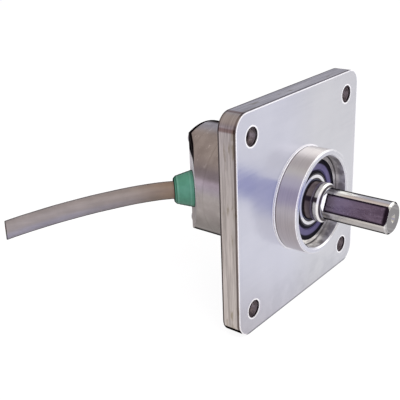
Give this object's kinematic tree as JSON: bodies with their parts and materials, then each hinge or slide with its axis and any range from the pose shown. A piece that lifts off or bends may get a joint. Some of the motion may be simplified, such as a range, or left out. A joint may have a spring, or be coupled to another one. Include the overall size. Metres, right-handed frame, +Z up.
{
  "type": "rotary encoder",
  "caption": "Optical rotary encoder with a square mounting flange, round centring pilot, flatted output shaft, bevelled rear cover and side cable with a green boot.",
  "frame": {"origin": "centre of the flange's front mounting face, on the shaft axis", "axes": "the output shaft points along -Y, +Z is up, +X is away from the cable"},
  "size_m": [0.0946, 0.0994, 0.0666],
  "materials": {
    "machined_aluminium": "milled and turned, satin, fine tool marks",
    "cover_metal": "drawn cover, polished, faint streaks along the axis",
    "ground_steel": "ground stainless shaft, milled flat darker",
    "bearing_steel": "polished bearing steel",
    "cage_brass": "pressed cage",
    "seal_rubber": "moulded lip seal, dark indigo",
    "oring_rubber": "soft black",
    "spring_steel": "phosphated",
    "screw_steel": "zinc plated",
    "spacer_brass": "turned",
    "hub_aluminium": "turned",
    "disc_metal": "etched nickel",
    "bracket_plastic": "moulded",
    "led_epoxy": "clear red",
    "reticle_glass": "polished",
    "chip_plastic": "moulded",
    "board_laminate": "solder mask",
    "connector_plastic": "moulded",
    "boot_plastic": "green moulded strain relief, faint ribs",
    "jacket_pvc": "warm grey, slightly glossy",
    "braid_copper": "tinned braid",
    "core_insulation": "thin insulation"
  },
  "bodies": {
    "housing": {"flange": "machined_aluminium", "front_bearing_outer_ring": "bearing_steel", "front_bearing_front_seal": "seal_rubber", "front_bearing_rear_seal": "seal_rubber", "rear_bearing_outer_ring": "bearing_steel", "rear_bearing_shields": "bearing_steel", "preload_spring": "spring_steel", "bearing_retaining_ring": "spring_steel", "cover": "cover_metal", "cover_oring": "oring_rubber", "cover_screws": "screw_steel", "board_spacers": "spacer_brass", "emitter_bracket": "bracket_plastic", "bracket_screws": "screw_steel", "led_emitter": "led_epoxy", "reticle": "reticle_glass", "detector_chip": "chip_plastic", "circuit_board": "board_laminate", "board_components": "chip_plastic", "wire_connector": "connector_plastic", "cable_clamp": "screw_steel", "cable_boot": "boot_plastic", "cable_jacket": "jacket_pvc", "cable_braid": "braid_copper", "cable_cores": "core_insulation", "connector_wires": "core_insulation"},
    "rotor": {"shaft": "ground_steel", "front_bearing_inner_ring": "bearing_steel", "rear_bearing_inner_ring": "bearing_steel", "disc_hub": "hub_aluminium", "hub_set_screws": "screw_steel", "code_disc": "disc_metal", "disc_clamp_ring": "hub_aluminium"},
    "front_cage": {"front_bearing_balls": "bearing_steel", "front_bearing_cage": "cage_brass"},
    "rear_cage": {"rear_bearing_balls": "bearing_steel", "rear_bearing_cage": "cage_brass"}
  },
  "joints": [
    {"name": "shaft_spin", "type": "hinge", "parent": "housing", "child": "rotor", "pos_m": [0, 0, 0], "axis": [0, -1, 0], "continuous": true},
    {"name": "front_cage_spin", "type": "hinge", "parent": "housing", "child": "front_cage", "pos_m": [0, 0, 0], "axis": [0, -1, 0], "continuous": true},
    {"name": "rear_cage_spin", "type": "hinge", "parent": "housing", "child": "rear_cage", "pos_m": [0, 0, 0], "axis": [0, -1, 0], "continuous": true}
  ],
  "couplings": [
    {"joint": "front_cage_spin", "follows": "shaft_spin", "ratio": 0.38095},
    {"joint": "rear_cage_spin", "follows": "shaft_spin", "ratio": 0.40079}
  ]
}
